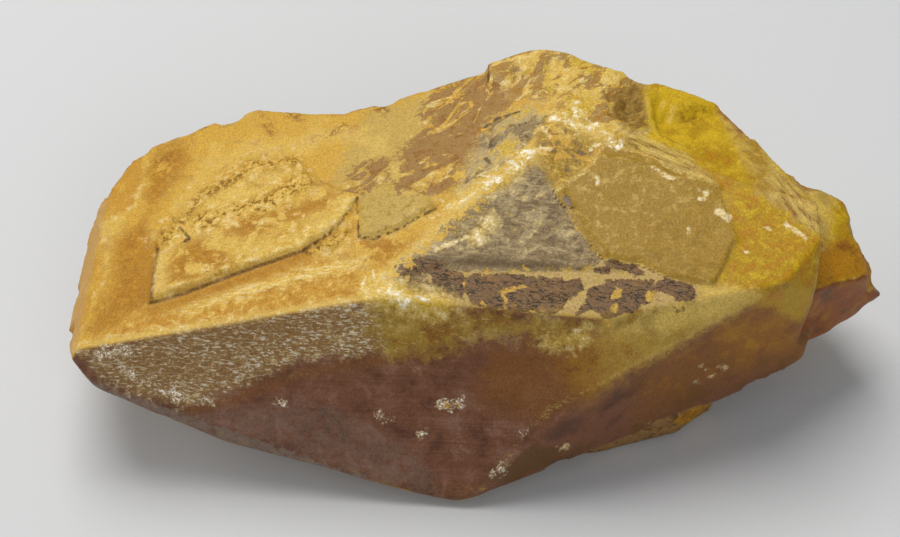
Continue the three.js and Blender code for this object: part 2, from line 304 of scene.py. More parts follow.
# Zones of the surface, each an outline or a stroke drawn in pixels of the picture and kept to a
# group of facets: areas are outlines, and strokes are (half width in pixels, points).
ZONES = {
    "blade shade": {"on": "far end", "areas": [[
        (800, 250), (822, 244), (852, 240), (890, 285), (880, 305), (800, 310),
    ]]},
    "right front olive": {"on": "right front", "areas": [[
        (640, 372), (700, 335), (770, 290), (830, 320), (815, 345), (740, 372), (680, 400),
        (640, 420),
    ]]},
    "front low": {"on": "front face", "areas": [[
        (180, 415), (300, 400), (349, 414), (408, 447), (433, 475), (440, 500), (300, 480),
        (190, 430),
    ]]},
    "crust end": {"on": "crust", "areas": [[(672, 402), (712, 402), (708, 422), (672, 424)]]},
    "amber band": {"on": "left roof", "areas": [[
        (90, 335), (112, 286), (114, 240), (148, 214), (150, 235), (146, 306), (118, 326),
    ]]},
    "bevel": {"on": "left roof", "areas": [[
        (77, 352), (83, 331), (88, 311), (102, 279), (105, 245), (102, 224), (131, 209), (144, 180),
        (144, 152), (144, 120), (60, 120), (50, 372),
    ]]},
    "bevel line": {"on": "left roof", "strokes": [(2, [
        (77, 352), (83, 331), (88, 311), (102, 279), (105, 245), (102, 224), (131, 209), (144, 180),
        (144, 152),
    ])]},
    "roof strip": {"on": "left roof", "areas": [[
        (84, 346), (150, 306), (182, 296), (250, 270), (302, 253), (345, 262), (375, 290), (372, 297),
        (230, 322), (100, 344),
    ]]},
    "cream stripe": {"on": "left roof", "strokes": [(6, [
        (185, 310), (215, 300), (260, 286), (310, 274), (362, 262),
    ])]},
    "plate": {"on": "left roof", "areas": [[
        (150, 303), (158, 247), (178, 226), (190, 209), (207, 193), (239, 176), (249, 165),
        (283, 163), (298, 161), (312, 186), (359, 195), (338, 226), (302, 250), (249, 268),
        (182, 293),
    ]]},
    "stains": {"on": "left roof", "areas": [
        [(165, 300), (168, 260), (185, 240), (215, 235), (235, 262), (215, 282)],
        [(215, 235), (240, 212), (300, 200), (330, 190), (345, 200), (300, 222), (250, 240)],
        [(88, 330), (108, 285), (140, 270), (150, 300), (120, 322)],
        [(145, 175), (160, 150), (190, 140), (185, 165), (165, 195), (150, 215)],
        [(350, 240), (362, 222), (372, 236), (410, 228), (420, 236), (392, 262), (362, 268)],
    ]},
    "khaki": {"on": "left roof", "areas": [[
        (330, 185), (345, 150), (372, 112), (430, 92), (436, 110), (425, 135), (432, 165), (437, 207),
        (401, 227), (373, 238), (359, 237), (357, 193),
    ]]},
    "lobe": {"on": "left roof", "areas": [[
        (359, 197), (361, 236), (374, 238), (401, 227), (437, 208), (420, 196), (390, 192),
    ]]},
    "brown patches": {"on": "roofs", "areas": [
        [(343, 192), (350, 168), (372, 158), (392, 160), (390, 176), (364, 192)],
        [(395, 190), (402, 150), (424, 126), (445, 128), (448, 172), (462, 182), (440, 196)],
        [
            (418, 116), (430, 92), (482, 72), (556, 58), (562, 80), (524, 96), (486, 126), (484, 146),
            (462, 170), (440, 172), (436, 128),
        ],
    ]},
    "speckled": {"on": "roofs", "areas": [
        [
            (483, 128), (500, 116), (519, 111), (542, 105), (560, 112), (552, 118), (530, 146),
            (512, 158), (500, 168),
        ],
        [(462, 180), (470, 160), (483, 128), (500, 130), (505, 165), (480, 182), (455, 195)],
    ]},
    "ridge lens": {"on": "roofs", "areas": [[
        (530, 146), (545, 116), (565, 119), (580, 132), (604, 142), (587, 168), (567, 183),
        (553, 190), (545, 180),
    ]]},
    "crown rough": {"on": "roofs", "areas": [[
        (488, 62), (500, 48), (547, 48), (603, 56), (650, 76), (642, 90), (650, 130), (620, 140),
        (600, 135), (575, 120), (545, 112), (560, 100), (510, 100),
    ]]},
    "crown pit": {"on": "crown", "areas": [[
        (612, 96), (630, 84), (650, 92), (649, 128), (630, 131), (616, 118),
    ]]},
    "crown bright": {"on": "crown", "areas": [[
        (648, 78), (700, 90), (724, 104), (734, 122), (724, 146), (690, 150), (655, 135), (645, 100),
    ]]},
    "crown shade": {"on": "crown", "areas": [[
        (668, 112), (684, 100), (708, 104), (716, 118), (700, 128), (680, 130),
    ]]},
    "amber": {"on": "roofs", "areas": [[
        (687, 146), (725, 140), (755, 165), (762, 196), (728, 200), (705, 175),
    ]]},
    "pale right": {"on": "roofs", "areas": [[
        (725, 122), (745, 128), (795, 176), (835, 196), (828, 247), (800, 225), (760, 195),
        (740, 150),
    ]]},
    "grey right": {"on": "roofs", "areas": [[
        (766, 178), (778, 172), (800, 190), (822, 225), (824, 252), (806, 232), (786, 212),
    ]]},
    "pebbly": {"on": "right side", "areas": [[
        (728, 190), (760, 195), (817, 235), (828, 250), (812, 285), (793, 284), (760, 299),
        (715, 287), (735, 240), (728, 215),
    ]]},
    "apron": {"on": "right side", "areas": [[
        (575, 350), (622, 330), (650, 318), (692, 298), (715, 285), (755, 290), (770, 300),
        (724, 320), (682, 348), (600, 390), (560, 370),
    ]]},
    "apron low": {"on": "right side", "areas": [[
        (596, 400), (585, 350), (622, 338), (668, 334), (700, 322), (690, 345),
    ]]},
    # A painted highlight: a pale glossy streak along the left side of the ridge.
    "ridge strip": {"on": "roofs", "strokes": [(6, [
        (376, 288), (400, 264), (430, 240), (455, 213), (475, 196),
    ])]},
    "grey patch": {"on": "right roof", "areas": [[
        (386, 279), (424, 246), (447, 216), (481, 186), (511, 168), (531, 156), (548, 178),
        (553, 190), (566, 208), (572, 221), (587, 240), (602, 258), (634, 265), (646, 274),
        (600, 268), (520, 270), (470, 276), (440, 280), (420, 278),
    ]]},
    "grey light": {"on": "right roof", "areas": [[
        (392, 262), (412, 243), (436, 234), (446, 244), (430, 258), (404, 268),
    ]]},
    "grey foot": {"on": "right roof", "strokes": [(5, [(404, 266), (440, 260), (500, 264), (556, 266)])]},
    "tan layer": {"on": "right roof", "areas": [[
        (428, 272), (470, 271), (520, 273), (584, 272), (602, 261), (646, 268), (700, 284),
        (700, 300), (650, 330), (600, 345), (540, 334), (480, 330), (440, 318), (424, 300),
    ]]},
    "dark layer": {"on": "right roof", "areas": [
        [(389, 275), (400, 266), (417, 258), (446, 262), (440, 270), (408, 277)],
        [(404, 286), (409, 278), (432, 282), (431, 292), (414, 297)],
        [(432, 267), (466, 274), (466, 285), (464, 298), (440, 298), (432, 284)],
        [
            (466, 275), (515, 274), (563, 280), (580, 278), (584, 291), (571, 299), (553, 315),
            (561, 324), (570, 335), (556, 337), (502, 329), (475, 326), (486, 310), (470, 301),
            (464, 292),
        ],
        [
            (574, 315), (585, 301), (588, 291), (596, 286), (608, 283), (623, 279), (652, 280),
            (656, 290), (650, 303), (639, 307), (640, 322), (631, 323), (617, 318), (608, 320),
            (595, 311), (580, 314),
        ],
        [
            (657, 281), (664, 279), (690, 282), (698, 294), (690, 301), (679, 303), (671, 295),
            (658, 289),
        ],
        [
            (581, 334), (590, 325), (608, 325), (616, 318), (621, 334), (613, 338), (610, 342),
            (594, 340),
        ],
        [(604, 260), (633, 265), (646, 275), (625, 271), (606, 266)],
        [(592, 269), (612, 267), (612, 273), (594, 273)],
    ]},
    "windows": {
        "on": "right roof",
        "areas": [
            [(611, 299), (616, 283), (621, 289), (623, 297), (617, 300)],
            [(643, 292), (655, 291), (653, 300), (647, 302)],
            [(610, 309), (616, 304), (620, 308), (618, 313)],
        ],
        "strokes": [
            (1.8, [(499, 293), (512, 290), (524, 286)]),
            (1.6, [(504, 294), (506, 313), (497, 322), (490, 327)]),
            (1.4, [(466, 276), (464, 285), (472, 296)]),
            (1.4, [(482, 302), (484, 312), (478, 320)]),
            (3.5, [(517, 316), (517, 324)]),
            (2.5, [(541, 320), (543, 328)]),
            (2, [(529, 320), (533, 319)]),
        ],
    },
    "olive plate": {"on": "right roof", "areas": [[
        (553, 190), (567, 183), (587, 168), (597, 155), (604, 143), (640, 150), (680, 170),
        (716, 183), (728, 215), (735, 240), (728, 262), (715, 285), (690, 284), (668, 277),
        (641, 264), (602, 258), (587, 240), (572, 221), (572, 208), (562, 205),
    ]]},
    "plate shade": {"on": "right roof", "areas": [[
        (650, 262), (640, 235), (690, 205), (720, 205), (734, 235), (725, 262), (700, 282),
        (670, 276),
    ]]},
    "plate rim": {"on": "right roof", "strokes": [(2, [
        (556, 190), (568, 184), (588, 169), (598, 156), (605, 144), (640, 151), (680, 171),
        (712, 183),
    ])]},
    "laths": {"on": "roofs", "areas": [[
        (606, 140), (640, 134), (690, 156), (720, 186), (680, 171), (640, 151),
    ]]},
    "lemon veins": {
        "on": "roofs",
        "areas": [[(562, 95), (593, 98), (590, 118), (566, 116)]],
        "strokes": [
            (2, [(540, 111), (556, 112)]),
            (2, [(552, 122), (556, 134)]),
            (3, [(572, 62), (600, 72)]),
            (2, [(545, 62), (552, 96)]),
        ],
    },
    "orange": {
        "on": "top",
        "areas": [
            [(395, 240), (415, 222), (437, 207), (442, 214), (405, 243)],
            [(545, 120), (558, 120), (560, 140), (550, 142)],
            [(540, 146), (556, 144), (556, 152), (538, 152)],
            [(552, 152), (590, 152), (600, 142), (604, 146), (592, 158), (556, 162)],
            [(536, 105), (556, 103), (556, 114), (538, 112)],
        ],
        "strokes": [
            (5, [(352, 232), (356, 222)]),
            (4, [(563, 146), (568, 140)]),
            (4, [(475, 190), (470, 196)]),
        ],
    },
    "rust": {"on": "top", "areas": [[
        (560, 290), (600, 275), (700, 285), (690, 305), (600, 345), (560, 345),
    ]]},
    "front band": {"on": "front", "areas": [[
        (76, 352), (230, 320), (375, 297), (392, 312), (388, 350), (300, 360), (230, 390), (185, 407),
        (120, 390),
    ]]},
    "band core": {"on": "front", "areas": [[
        (80, 350), (140, 338), (210, 326), (300, 312), (330, 320), (250, 350), (180, 385), (110, 372),
    ]]},
    "warm band": {"on": "front", "strokes": [(4, [
        (186, 412), (240, 397), (305, 372), (380, 360), (450, 354),
    ])]},
    "v tint": {"on": "brow", "areas": [[
        (376, 296), (400, 308), (440, 314), (600, 326), (560, 336), (480, 334), (430, 350),
        (384, 352), (374, 330),
    ]]},
    "front right": {"on": "front face", "areas": [[
        (470, 340), (560, 345), (625, 370), (592, 392), (540, 420), (480, 400),
    ]]},
    "front gold": {"on": "front face", "areas": [[
        (575, 335), (640, 345), (640, 400), (588, 396), (566, 372),
    ]]},
    "rust flecks": {"on": "front face", "areas": [[
        (540, 338), (560, 342), (615, 352), (610, 372), (560, 372), (545, 360),
    ]]},
    "side gold": {"on": "right front", "areas": [[
        (720, 330), (800, 290), (830, 325), (800, 350), (740, 368),
    ]]},
    "gusset face": {"on": "corner", "areas": [[
        (748, 304), (793, 281), (816, 280), (815, 300), (800, 322), (786, 316), (766, 306),
    ]]},
    "scabs": {"on": "roofs", "strokes": [
        (6, [(264, 120), (272, 132)]),
        (5, [(288, 114), (300, 118)]),
        (5, [(152, 164), (172, 156)]),
        (5, [(330, 134), (345, 126)]),
        (7, [(372, 104), (384, 110)]),
    ]},
    # Crumbly steps: pale crumbs with a dark mottle that is partly cracks and partly painted shadow between
    # the crumbs.
    "crumble": {"on": "left roof", "strokes": [
        (9, [
            (160, 244), (178, 226), (190, 209), (207, 193), (239, 176), (249, 165), (283, 163),
            (298, 161),
        ]),
        (13, [(200, 222), (240, 212), (275, 200), (300, 180)]),
        (8, [(212, 276), (228, 268), (240, 260), (252, 260)]),
        (9, [(306, 252), (325, 246), (346, 234)]),
        (5, [(425, 212), (440, 206)]),
        (7, [(292, 192), (312, 182)]),
        (5, [(278, 236), (300, 226)]),
    ]},
    "riser shade": {"on": "left roof", "strokes": [
        (8, [(148, 296), (150, 272), (154, 250)]),
        (6, [(150, 309), (184, 300), (250, 275), (300, 257)]),
    ]},
    # The riser stroke is painted shadow: a dark line on the plate's step that faces away from the light.
    "riser": {"on": "left roof", "strokes": [
        (1.7, [(151, 302), (154, 275), (158, 249)]),
        (1.9, [(151, 303), (182, 294), (249, 269), (302, 251), (330, 233), (346, 214), (358, 198)]),
    ]},
    # The rim stroke is a painted highlight: a pale line where the plate's edge catches the light.
    "rim": {"on": "left roof", "strokes": [(5, [
        (160, 256), (158, 296), (182, 286), (249, 261), (300, 243), (330, 222), (350, 200),
    ])]},
    # A painted highlight: a pale band where the worn front edge catches the light.
    "front edge": {"on": "top", "strokes": [(6, [
        (80, 349), (150, 336), (230, 323), (310, 309), (378, 297),
    ])]},
    # A painted highlight: a bright line along the apron's edge.
    "apron edge": {"on": "top", "strokes": [(3, [
        (600, 386), (640, 364), (682, 344), (722, 319), (760, 297),
    ])]},
    "fold edge": {"on": "front", "strokes": [(2, [(480, 492), (524, 436), (553, 407), (592, 389)])]},
    "lozenge": {"on": "right roof", "areas": [[(562, 198), (567, 192), (573, 206), (567, 206)]]},
    "cracks": {"on": "roofs", "strokes": [
        (1.5, [(552, 190), (558, 202), (566, 208), (573, 207)]),
        (1.1, [(357, 198), (359, 237), (374, 239), (401, 228), (420, 217), (437, 208)]),
        (1.4, [(489, 84), (488, 62)]),
        (1.1, [(483, 129), (500, 117), (519, 112)]),
        (1.2, [(180, 228), (190, 238), (184, 242)]),
        (2, [(486, 159), (489, 162)]),
        (1.1, [(587, 241), (602, 259), (641, 266), (669, 279)]),
    ]},
    "front marks": {
        "on": "front",
        "areas": [[(160, 390), (174, 389), (184, 398), (178, 402), (164, 397)]],
        "strokes": [
            (4.5, [(442, 405), (458, 402)]),
            (1.6, [(380, 415), (386, 419)]),
            (1.6, [(417, 432), (421, 433)]),
            (2, [(492, 474), (504, 468)]),
            (1.4, [(279, 403), (284, 404)]),
            (3, [(96, 352), (130, 350)]),
            (1.6, [(205, 398), (212, 401)]),
            (1.3, [(522, 436), (527, 430)]),
            (1.2, [(120, 366), (150, 384)]),
        ],
    },
    "side marks": {"on": "right front", "strokes": [
        (1, [(694, 382), (698, 384)]),
        (0.9, [(700, 365), (705, 367)]),
        (1.1, [(719, 367), (725, 368)]),
        (0.9, [(711, 376), (713, 377)]),
        (1.3, [(560, 448), (568, 446)]),
    ]},
    "front rust": {"on": "front face", "strokes": [(2, [(446, 405), (456, 404)])]},
    # Painted highlights: pale strokes on the lit facets, by the V, along the ridge and at the edges.
    "glow": {"on": "lit", "strokes": [
        (15, [(372, 290), (400, 298), (440, 306)]),
        (9, [(484, 184), (508, 174), (532, 152)]),
        (7, [(552, 118), (580, 126), (600, 134)]),
        (7, [(550, 343), (584, 337)]),
        (7, [(574, 98), (580, 116)]),
        (6, [(474, 238), (490, 222)]),
        (5, [(455, 206), (478, 192)]),
    ]},
    "flecks": {"on": "roofs", "strokes": [
        (1.6, [(460, 202), (473, 195)]),
        (1.8, [(543, 128), (550, 136)]),
        (2.2, [(786, 224), (806, 238)]),
        (3.4, [(718, 212), (730, 218)]),
        (1.7, [(653, 167), (673, 179)]),
        (1.3, [(598, 176), (597, 186)]),
        (1.1, [(607, 186), (607, 190)]),
        (1.3, [(599, 220), (600, 225)]),
        (1.5, [(699, 199), (705, 200)]),
        (1.4, [(688, 228), (689, 232)]),
        (1.4, [(700, 190), (708, 195)]),
        (1.5, [(475, 238), (479, 234)]),
        (2, [(436, 250), (464, 238)]),
        (1.6, [(540, 147), (552, 150)]),
        (1.6, [(590, 150), (600, 144)]),
        (1.2, [(744, 250), (748, 253)]),
        (1.3, [(764, 226), (772, 230)]),
    ]},
    # White spots: the patch at the V is white damage, and the small spots along the ridge are painted glints.
    "chalk": {
        "on": "top",
        "areas": [
            [
                (381, 295), (387, 288), (395, 286), (404, 291), (414, 297), (430, 304), (420, 309),
                (404, 309), (390, 305),
            ],
            [(536, 147), (528, 157), (517, 164), (513, 160), (521, 151)],
            [(508, 171), (503, 177), (484, 184), (483, 181), (495, 175)],
        ],
        "strokes": [
            (1.4, [(556, 116), (572, 122)]),
            (2.4, [(580, 126), (592, 126)]),
            (1.6, [(576, 104), (578, 113)]),
            (2, [(609, 142), (618, 143)]),
            (2.4, [(554, 342), (580, 337)]),
            (3, [(478, 234), (487, 225)]),
            (1.6, [(365, 279), (370, 277)]),
        ],
    },
}

# Colours of the mineral.
PALETTE = {
    "chalk": "#FFFAEC",
    "cream": "#E8D092",
    "straw": "#D6B45A",
    "gold": "#C89C3A",
    "ochre": "#BC892C",
    "tan": "#C0903E",
    "honey": "#A87518",
    "amber": "#B07812",
    "rust": "#8A4A14",
    "lemon": "#C8A41C",
    "mustard": "#B08A14",
    "khaki": "#BA9C50",
    "olive": "#9E7B2A",
    "moss": "#7A5A14",
    "putty": "#B09C72",
    "taupe": "#8E7852",
    "drab": "#66523A",
    "cocoa": "#785A3E",
    "umber": "#64431E",
    "bark": "#43301D",
    "soot": "#292018",
    "plum": "#794D34",
    "mauve": "#8C6450",
    "prune": "#5B3724",
    "ash": "#7E6C60",
    "clay": "#95703F",
    "russet": "#85541A",
    "sand": "#BB9C60",
    "bone": "#CDB48C",
    "sienna": "#9A6414",
}

# Patterns of the surface: noise with its grain size in mm along X, Y and Z, its turn about Z in
# degrees, its detail, roughness and distortion.
PATTERNS = {
    "broad": ((11, 11, 11), 0, 3, 0.55, 0.3),
    "cloud": ((4.2, 4.2, 4.2), 0, 4, 0.62, 0.4),
    "mottle": ((1.4, 1.4, 1.4), 0, 4, 0.68, 0.3),
    "grit": ((0.34, 0.34, 0.34), 0, 1, 0.7, 0.0),
    "streak": ((3, 0.75, 0.75), -9, 6, 0.75, 0.8),
    "flow": ((7, 3, 3), 38, 6, 0.62, 0.8),
    "striae": ((22, 0.5, 0.5), -3.6, 2, 0.65, 0.1),
    "scratch": ((1.0, 0.42, 0.34), -3.6, 4, 0.75, 0.5),
    "shear": ((9, 0.7, 0.7), -60, 3, 0.62, 0.3),
    "lath": ((12, 0.6, 0.6), -29, 3, 0.62, 0.2),
    "veins": ((2.6, 0.9, 0.9), -8, 3, 0.6, 0.6),
}

# Patterns of cracks, each highest where a pattern crosses its middle value.
CRACKS = {"crackle": "veins"}

# The coats of colour, from the ground up: zone or group, pattern, three colours from low to high,
# width and raggedness of the border in mm, roughness, strength, thickness in mm, and
# (pattern, from, to) for a coat that shows only where that pattern runs from the one to the other.
COATS = [
    ("left roof", "cloud", "straw straw cream", 1.0, 0.5, 0.45, 0.5, 0, ("broad", 0.5, 0.62)),
    ("left roof", "mottle", "honey honey ochre", 1.0, 0.5, 0.45, 0.7, 0, ("cloud", 0.52, 0.64)),
    ("east", "cloud", "olive khaki gold", 0.6, 0.5, 0.48, 1.0, 0, None),
    ("crown", "cloud", "mustard lemon straw", 0.6, 0.6, 0.42, 1.0, 0, None),
    ("shoulder", "cloud", "amber mustard lemon", 0.5, 0.4, 0.38, 1.0, 0, None),
    ("blade", "cloud", "russet honey honey", 0.5, 0.3, 0.36, 1.0, 0, None),
    ("blade shade", "cloud", "russet honey amber", 2.0, 0.6, 0.36, 0.95, 0, None),
    ("gusset", "cloud", "honey amber mustard", 0.5, 0.3, 0.38, 1.0, 0, None),
    ("back", "mottle", "honey ochre gold", 1.0, 1.2, 0.6, 1.0, 0, None),
    ("back", "mottle", "russet clay clay", 1.0, 1.2, 0.65, 0.7, 0, ("flow", 0.53, 0.49)),
    ("dark side", "cloud", "prune plum mauve", 0.5, 0.3, 0.42, 1.0, 0, None),
    ("under", "cloud", "cocoa clay clay", 6.0, 3.0, 0.6, 1.0, 0, None),
    ("blade low", "cloud", "umber rust sienna", 0.5, 0.3, 0.42, 1.0, 0, None),
    ("front", "striae", "prune plum mauve", 0.5, 0.3, 0.42, 0.22, 0, None),
    ("right front", "broad", "prune plum umber", 0.5, 0.3, 0.4, 1.0, 0, None),
    ("right front olive", "cloud", "russet russet sienna", 8.0, 1.0, 0.4, 0.85, 0, None),
    ("under left", "mottle", "plum ash taupe", 0.5, 0.5, 0.55, 0.9, 0, None),
    ("front low", "mottle", "plum ash ash", 2.5, 0.8, 0.5, 0.35, 0, None),
    ("crust", "mottle", "umber clay clay", 0.6, 0.8, 0.6, 1.0, 0, None),
    ("crust end", "mottle", "russet honey ochre", 1.0, 0.8, 0.5, 1.0, 0, None),
    ("amber band", "mottle", "sienna honey ochre", 3.0, 1.6, 0.42, 0.95, 0, None),
    ("bevel", "cloud", "tan ochre gold", 0.8, 0.5, 0.5, 0.85, 0, None),
    ("bevel line", "mottle", "gold straw cream", 0.6, 0.6, 0.5, 0.6, 0, None),
    ("roof strip", "mottle", "honey ochre straw", 1.5, 0.8, 0.48, 0.9, 0, None),
    ("cream stripe", "striae", "gold straw cream", 1.6, 0.8, 0.5, 0.9, 0, None),
    ("plate", "mottle", "gold straw straw", 0.5, 0.2, 0.48, 0.7, 0, None),
    ("stains", "mottle", "sienna honey ochre", 3.0, 2.0, 0.45, 0.95, 0, ("cloud", 0.42, 0.52)),
    ("khaki", "mottle", "khaki khaki khaki", 1.6, 1.6, 0.42, 0.8, 0, None),
    ("khaki", "broad", "khaki straw straw", 1.6, 1.2, 0.42, 0.5, 0, ("broad", 0.5, 0.6)),
    ("lobe", "mottle", "olive khaki khaki", 0.8, 0.8, 0.42, 0.9, 0, None),
    ("brown patches", "mottle", "russet clay clay", 0.9, 1.6, 0.5, 0.9, 0.06, ("flow", 0.58, 0.54)),
    ("brown patches", "mottle", "clay gold cream", 1.0, 2.0, 0.6, 0.6, 0, ("flow", 0.53, 0.57)),
    ("speckled", "mottle", "drab putty khaki", 1.8, 2.0, 0.6, 0.85, 0, None),
    ("speckled", "mottle", "soot drab drab", 1.0, 1.0, 0.6, 0.6, 0, ("flow", 0.53, 0.58)),
    ("speckled", "grit", "lemon lemon straw", 1.0, 1.0, 0.5, 0.75, 0, ("flow", 0.45, 0.42)),
    ("ridge lens", "mottle", "drab olive straw", 1.2, 1.4, 0.58, 0.85, 0, None),
    ("crown rough", "mottle", "gold straw cream", 1.6, 1.6, 0.6, 0.85, 0, None),
    ("crown rough", "mottle", "sienna clay clay", 1.6, 1.6, 0.6, 0.8, 0, ("flow", 0.53, 0.49)),
    ("crown pit", "mottle", "bark moss olive", 1.6, 1.4, 0.65, 0.8, 0, None),
    ("crown bright", "cloud", "mustard lemon lemon", 2.0, 0.8, 0.3, 1.0, 0, None),
    ("crown shade", "mottle", "moss mustard mustard", 2.0, 1.2, 0.35, 0.8, 0, ("mottle", 0.58, 0.46)),
    ("amber", "cloud", "amber mustard lemon", 2.0, 0.8, 0.32, 0.9, 0, None),
    ("pale right", "cloud", "olive khaki straw", 2.5, 1.0, 0.45, 0.8, 0, None),
    ("grey right", "shear", "russet khaki straw", 2.0, 0.8, 0.5, 0.85, 0, None),
    ("pebbly", "mottle", "amber mustard lemon", 1.8, 0.8, 0.42, 1.0, 0, None),
    ("pebbly", "cloud", "honey amber amber", 1.8, 0.8, 0.42, 0.6, 0, ("cloud", 0.53, 0.62)),
    ("apron", "cloud", "khaki straw straw", 2.4, 0.8, 0.42, 0.9, 0, None),
    ("apron low", "cloud", "honey olive mustard", 4.0, 1.0, 0.36, 0.85, 0, None),
    # Painted glossy highlight beside the ridge.
    ("ridge strip", "mottle", "gold straw cream", 1.6, 0.8, 0.42, 0.8, 0, None),
    ("grey patch", "streak", "drab taupe putty", 0.4, 1.6, 0.6, 1.0, 0.06, None),
    ("grey patch", "mottle", "drab drab taupe", 0.4, 1.6, 0.6, 0.7, 0, ("mottle", 0.48, 0.4)),
    ("grey patch", "mottle", "taupe putty cream", 0.4, 1.6, 0.55, 0.6, 0, ("flow", 0.5, 0.57)),
    ("grey patch", "mottle", "gold straw straw", 0.4, 0.9, 0.55, 0.5, 0, ("mottle", 0.6, 0.66)),
    ("grey light", "streak", "ash putty bone", 1.6, 1.0, 0.55, 0.7, 0, None),
    ("grey foot", "mottle", "umber drab drab", 1.6, 1.4, 0.55, 0.75, 0, None),
    ("tan layer", "mottle", "khaki sand sand", 0.4, 0.5, 0.5, 0.95, 0, None),
    ("dark layer", "mottle", "drab cocoa cocoa", 0.3, 0.6, 0.5, 0.95, 0.08, None),
    ("dark layer", "mottle", "umber clay clay", 0.3, 0.6, 0.5, 0.5, 0, ("cloud", 0.52, 0.62)),
    ("dark layer", "mottle", "soot soot bark", 0.3, 0.6, 0.6, 0.85, 0, ("crackle", 0.965, 0.985)),
    ("windows", "mottle", "sand gold straw", 0.25, 0.5, 0.5, 0.9, 0, None),
    ("olive plate", "mottle", "olive olive khaki", 0.3, 0.25, 0.42, 0.97, 0, None),
    ("olive plate", "broad", "khaki khaki gold", 0.6, 0.5, 0.45, 0.25, 0, ("broad", 0.5, 0.62)),
    ("plate shade", "cloud", "moss olive olive", 2.0, 0.8, 0.45, 0.5, 0, None),
    ("plate rim", "grit", "khaki straw cream", 0.5, 0.4, 0.5, 0.6, 0, None),
    ("laths", "lath", "moss khaki straw", 0.8, 0.5, 0.5, 0.85, 0.05, None),
    ("lemon veins", "grit", "lemon lemon straw", 0.8, 1.6, 0.5, 0.8, 0, None),
    ("orange", "mottle", "amber gold gold", 0.8, 1.2, 0.5, 0.8, 0, None),
    ("rust", "mottle", "rust rust umber", 0.6, 0.8, 0.55, 0.7, 0, ("mottle", 0.6, 0.66)),
    ("front band", "mottle", "clay clay sand", 2.4, 0.8, 0.5, 0.85, 0, None),
    ("front band", "scratch", "bone cream chalk", 1.4, 1.4, 0.65, 0.6, 0.04, ("scratch", 0.5, 0.58)),
    ("band core", "scratch", "cocoa clay bone", 4.0, 1.8, 0.65, 0.8, 0, ("mottle", 0.42, 0.56)),
    ("warm band", "mottle", "russet russet clay", 1.6, 0.5, 0.45, 0.5, 0, None),
    ("v tint", "cloud", "olive olive khaki", 5.0, 2.4, 0.45, 0.9, 0, None),
    ("front right", "broad", "plum russet russet", 7.0, 1.0, 0.4, 0.7, 0, None),
    ("front gold", "cloud", "russet honey olive", 8.0, 1.0, 0.38, 0.9, 0, None),
    ("v tint", "cloud", "russet olive khaki", 5.0, 2.4, 0.45, 0.8, 0, None),
    ("v tint", "scratch", "khaki straw cream", 5.0, 2.4, 0.55, 0.5, 0, ("scratch", 0.56, 0.64)),
    ("rust flecks", "scratch", "bark rust rust", 1.6, 1.2, 0.5, 0.8, 0, ("scratch", 0.57, 0.63)),
    ("side gold", "cloud", "russet sienna honey", 6.0, 1.0, 0.38, 0.8, 0, None),
    ("gusset face", "cloud", "amber mustard mustard", 1.6, 0.5, 0.36, 1.0, 0, None),
    ("scabs", "mottle", "umber russet honey", 1.0, 2.0, 0.6, 0.85, 0, ("mottle", 0.55, 0.47)),
    ("crumble", "mottle", "honey gold cream", 1.6, 2.0, 0.6, 0.6, 0, None),
    # Dark mottle: partly cracks, partly painted shadow between the crumbs.
    ("crumble", "mottle", "umber russet russet", 1.6, 2.0, 0.65, 0.8, -0.12, ("mottle", 0.47, 0.4)),
    ("riser shade", "mottle", "sienna honey honey", 2.6, 0.8, 0.5, 0.8, 0, None),
    # Painted shadow on the plate's riser.
    ("riser", "mottle", "bark umber russet", 0.35, 0.12, 0.55, 0.85, 0, None),
    # Painted highlight along the plate's rim.
    ("rim", "mottle", "gold straw cream", 1.2, 0.4, 0.48, 0.6, 0, None),
    # Painted highlight along the worn front edge.
    ("front edge", "mottle", "straw straw cream", 1.6, 0.4, 0.45, 0.8, 0, None),
    # Painted highlight along the apron's edge.
    ("apron edge", "mottle", "gold straw straw", 1.0, 0.4, 0.42, 0.6, 0, None),
    ("fold edge", "scratch", "clay khaki straw", 0.6, 1.0, 0.5, 0.45, 0, ("scratch", 0.5, 0.58)),
    ("lozenge", "mottle", "drab ash ash", 0.3, 0.2, 0.5, 0.9, 0, None),
    ("cracks", "mottle", "soot bark umber", 0.3, 0.3, 0.65, 0.85, -0.1, None),
    ("front marks", "grit", "clay bone chalk", 1.0, 1.4, 0.55, 0.9, 0, None),
    ("side marks", "grit", "clay bone cream", 0.5, 0.8, 0.55, 0.8, 0, None),
    ("front rust", "mottle", "honey amber gold", 0.8, 1.0, 0.5, 0.9, 0, None),
    # Painted highlights on the lit facets.
    ("glow", "mottle", "lemon straw cream", 3.2, 1.4, 0.45, 0.85, 0, None),
    ("flecks", "scratch", "straw cream chalk", 0.4, 0.35, 0.55, 0.85, 0, None),
    # White damage at the V, and painted glints along the ridge.
    ("chalk", "mottle", "straw cream chalk", 1.6, 1.3, 0.55, 1.0, 0.05, None),
]
GROUND = ("cloud", "gold gold straw", 0.46)

# Where the three colours of a coat lie on its pattern.
STOPS = (0.34, 0.5, 0.66)

# The fine relief in mm: how deep the mottle runs on the smoothest and on the roughest coats, and
# how deep the grit is. Then what roughness counts as smoothest and as roughest.
FINE_RELIEF = (0.04, 0.3, 0.05)
SMOOTH_TO_ROUGH = (0.36, 0.64)

# How much the grit lightens and darkens the colour, between two of its values.
GRAIN_CONTRAST = 0.4
GRAIN_RANGE = (0.2, 0.8)

# The mottle seldom strays from its middle by more than this, which moves a border by its raggedness.
MOTTLE_SWING = 0.25

# How far zones are followed beyond their border, in mm.
ZONE_REACH = 4.0

# A ray that turns towards a facet by less than this runs along it.
SIDEWAYS = 1e-6

# The distance in mm that stands for a facet of another body.
FAR_AWAY = 1000


